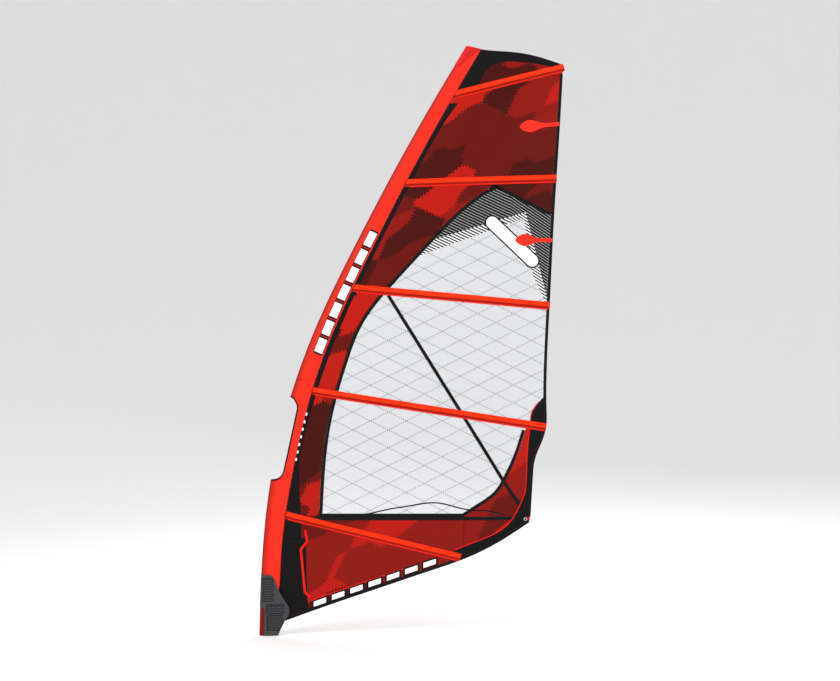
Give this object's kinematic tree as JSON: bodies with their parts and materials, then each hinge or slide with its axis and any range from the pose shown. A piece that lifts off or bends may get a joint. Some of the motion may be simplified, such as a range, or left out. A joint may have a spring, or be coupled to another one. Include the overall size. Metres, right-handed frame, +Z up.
{
  "type": "windsurf sail",
  "caption": "Battened windsurf sail with mast sleeve, boom cut-out, clear window, clew eyelet and tack pulley block under a moulded fairing.",
  "frame": {"origin": "centre of the mast sleeve's mouth at the tack", "axes": "+Z up along the sail, +X from luff to leech, port side faces -Y"},
  "size_m": [2.1386, 0.0869, 4.124],
  "materials": {
    "sleeve_lower": "laminated polyester cloth",
    "sleeve_boom_section": "laminated polyester cloth",
    "sleeve_upper": "laminated polyester cloth",
    "sleeve_foot": "laminated polyester cloth",
    "head_patch": "printed laminate sailcloth",
    "boom_cutout_binding": "woven tape",
    "head_panel": "printed laminate sailcloth",
    "upper_panel": "printed laminate sailcloth",
    "luff_panel_upper": "printed laminate sailcloth",
    "leech_corner_panel": "printed laminate sailcloth",
    "luff_panel_middle": "printed laminate sailcloth",
    "luff_panel_lower": "printed laminate sailcloth",
    "foot_panel": "printed laminate sailcloth",
    "tack_panel": "printed laminate sailcloth",
    "clew_panel": "printed laminate sailcloth",
    "luff_tape": "woven tape",
    "tack_patch": "printed laminate sailcloth",
    "leech_tape": "woven tape",
    "foot_tape": "woven tape",
    "window_frame_tape": "woven tape",
    "clew_strap_upper": "webbing",
    "clew_strap_lower": "webbing",
    "clew_patch": "printed laminate sailcloth",
    "mini_pocket_1": "printed laminate sailcloth",
    "mini_pocket_2": "printed laminate sailcloth",
    "tack_webbing": "webbing",
    "batten_pocket_1": "woven polyester, satin",
    "batten_1": "glass and carbon fibre rod, satin",
    "batten_tensioner_1": "moulded nylon",
    "tension_screw_1": "stainless, socket head",
    "batten_pocket_2": "woven polyester, satin",
    "batten_2": "glass and carbon fibre rod, satin",
    "batten_tensioner_2": "moulded nylon",
    "tension_screw_2": "stainless, socket head",
    "batten_pocket_3": "woven polyester, satin",
    "batten_3": "glass and carbon fibre rod, satin",
    "batten_tensioner_3": "moulded nylon",
    "tension_screw_3": "stainless, socket head",
    "batten_pocket_4": "woven polyester, satin",
    "batten_4": "glass and carbon fibre rod, satin",
    "batten_tensioner_4": "moulded nylon",
    "tension_screw_4": "stainless, socket head",
    "batten_pocket_5": "woven polyester, satin",
    "batten_5": "glass and carbon fibre rod, satin",
    "batten_tensioner_5": "moulded nylon",
    "tension_screw_5": "stainless, socket head",
    "mini_batten_1": "glass fibre strip",
    "mini_batten_2": "glass fibre strip",
    "window_upper": "clear monofilm with laid scrim",
    "window_middle": "clear monofilm with laid scrim",
    "window_lower": "clear monofilm with laid scrim",
    "mast_tip_cup": "moulded nylon",
    "clew_ring": "stainless, polished",
    "tack_block_frame": "stainless",
    "tack_block_axle": "stainless",
    "tack_sheave_1": "acetal",
    "tack_sheave_2": "acetal",
    "tack_sheave_3": "acetal",
    "fairing_port": "moulded EVA, matte",
    "fairing_starboard": "moulded EVA, matte"
  },
  "bodies": {
    "sail": {"sleeve_lower": "sleeve_lower", "sleeve_boom_section": "sleeve_boom_section", "sleeve_upper": "sleeve_upper", "sleeve_foot": "sleeve_foot", "head_patch": "head_patch", "boom_cutout_binding": "boom_cutout_binding", "head_panel": "head_panel", "upper_panel": "upper_panel", "luff_panel_upper": "luff_panel_upper", "leech_corner_panel": "leech_corner_panel", "luff_panel_middle": "luff_panel_middle", "luff_panel_lower": "luff_panel_lower", "foot_panel": "foot_panel", "tack_panel": "tack_panel", "clew_panel": "clew_panel", "luff_tape": "luff_tape", "tack_patch": "tack_patch", "leech_tape": "leech_tape", "foot_tape": "foot_tape", "window_frame_tape": "window_frame_tape", "clew_strap_upper": "clew_strap_upper", "clew_strap_lower": "clew_strap_lower", "clew_patch": "clew_patch", "mini_pocket_1": "mini_pocket_1", "mini_pocket_2": "mini_pocket_2", "tack_webbing": "tack_webbing", "batten_pocket_1": "batten_pocket_1", "batten_tensioner_1": "batten_tensioner_1", "batten_pocket_2": "batten_pocket_2", "batten_tensioner_2": "batten_tensioner_2", "batten_pocket_3": "batten_pocket_3", "batten_tensioner_3": "batten_tensioner_3", "batten_pocket_4": "batten_pocket_4", "batten_tensioner_4": "batten_tensioner_4", "batten_pocket_5": "batten_pocket_5", "batten_tensioner_5": "batten_tensioner_5", "mini_batten_1": "mini_batten_1", "mini_batten_2": "mini_batten_2", "window_upper": "window_upper", "window_middle": "window_middle", "window_lower": "window_lower", "mast_tip_cup": "mast_tip_cup", "clew_ring": "clew_ring", "tack_block_frame": "tack_block_frame", "tack_block_axle": "tack_block_axle", "fairing_port": "fairing_port"},
    "batten_1": {"batten_1": "batten_1"},
    "tension_screw_1": {"tension_screw_1": "tension_screw_1"},
    "batten_2": {"batten_2": "batten_2"},
    "tension_screw_2": {"tension_screw_2": "tension_screw_2"},
    "batten_3": {"batten_3": "batten_3"},
    "tension_screw_3": {"tension_screw_3": "tension_screw_3"},
    "batten_4": {"batten_4": "batten_4"},
    "tension_screw_4": {"tension_screw_4": "tension_screw_4"},
    "batten_5": {"batten_5": "batten_5"},
    "tension_screw_5": {"tension_screw_5": "tension_screw_5"},
    "tack_sheave_1": {"tack_sheave_1": "tack_sheave_1"},
    "tack_sheave_2": {"tack_sheave_2": "tack_sheave_2"},
    "tack_sheave_3": {"tack_sheave_3": "tack_sheave_3"},
    "fairing_flap": {"fairing_starboard": "fairing_starboard"}
  },
  "joints": [
    {"name": "tension_screw_1_turn", "type": "hinge", "parent": "sail", "child": "tension_screw_1", "pos_m": [2.1006, -0.00719, 3.97265], "axis": [-0.9696, -0.0289, -0.2429], "range_deg": [0, 3600]},
    {"name": "batten_1_slide", "type": "slide", "parent": "sail", "child": "batten_1", "axis": [-0.9696, -0.0289, -0.2429], "range_m": [0, 0.008]},
    {"name": "tension_screw_2_turn", "type": "hinge", "parent": "sail", "child": "tension_screw_2", "pos_m": [2.04826, -0.0091, 3.19739], "axis": [-0.9981, -0.0528, -0.033], "range_deg": [0, 3600]},
    {"name": "batten_2_slide", "type": "slide", "parent": "sail", "child": "batten_2", "axis": [-0.9981, -0.0528, -0.033], "range_m": [0, 0.008]},
    {"name": "tension_screw_3_turn", "type": "hinge", "parent": "sail", "child": "tension_screw_3", "pos_m": [1.99998, -0.01087, 2.30591], "axis": [-0.9948, -0.0495, 0.0889], "range_deg": [0, 3600]},
    {"name": "batten_3_slide", "type": "slide", "parent": "sail", "child": "batten_3", "axis": [-0.9948, -0.0495, 0.0889], "range_m": [0, 0.008]},
    {"name": "tension_screw_4_turn", "type": "hinge", "parent": "sail", "child": "tension_screw_4", "pos_m": [1.97513, -0.01021, 1.45691], "axis": [-0.9876, -0.0326, 0.1536], "range_deg": [0, 3600]},
    {"name": "batten_4_slide", "type": "slide", "parent": "sail", "child": "batten_4", "axis": [-0.9876, -0.0326, 0.1536], "range_m": [0, 0.008]},
    {"name": "tension_screw_5_turn", "type": "hinge", "parent": "sail", "child": "tension_screw_5", "pos_m": [1.37508, -0.01384, 0.54578], "axis": [-0.9718, -0.0128, 0.2355], "range_deg": [0, 3600]},
    {"name": "batten_5_slide", "type": "slide", "parent": "sail", "child": "batten_5", "axis": [-0.9718, -0.0128, 0.2355], "range_m": [0, 0.008]},
    {"name": "tack_sheave_1_spin", "type": "hinge", "parent": "sail", "child": "tack_sheave_1", "pos_m": [0.0935, 0, 0.04], "axis": [1, 0, 0], "continuous": true},
    {"name": "tack_sheave_2_spin", "type": "hinge", "parent": "sail", "child": "tack_sheave_2", "pos_m": [0.0995, 0, 0.04], "axis": [1, 0, 0], "continuous": true},
    {"name": "tack_sheave_3_spin", "type": "hinge", "parent": "sail", "child": "tack_sheave_3", "pos_m": [0.1055, 0, 0.04], "axis": [1, 0, 0], "continuous": true},
    {"name": "fairing_flap_open", "type": "hinge", "parent": "sail", "child": "fairing_flap", "pos_m": [-0.02409, 0, 0.2], "axis": [0.0307, 0, 0.9995], "range_deg": [0, 110]}
  ],
  "couplings": [
    {"joint": "tension_screw_1_turn", "follows": "batten_1_slide", "rad_per_m": 7850},
    {"joint": "tension_screw_2_turn", "follows": "batten_2_slide", "rad_per_m": 7850},
    {"joint": "tension_screw_3_turn", "follows": "batten_3_slide", "rad_per_m": 7850},
    {"joint": "tension_screw_4_turn", "follows": "batten_4_slide", "rad_per_m": 7850},
    {"joint": "tension_screw_5_turn", "follows": "batten_5_slide", "rad_per_m": 7850}
  ]
}
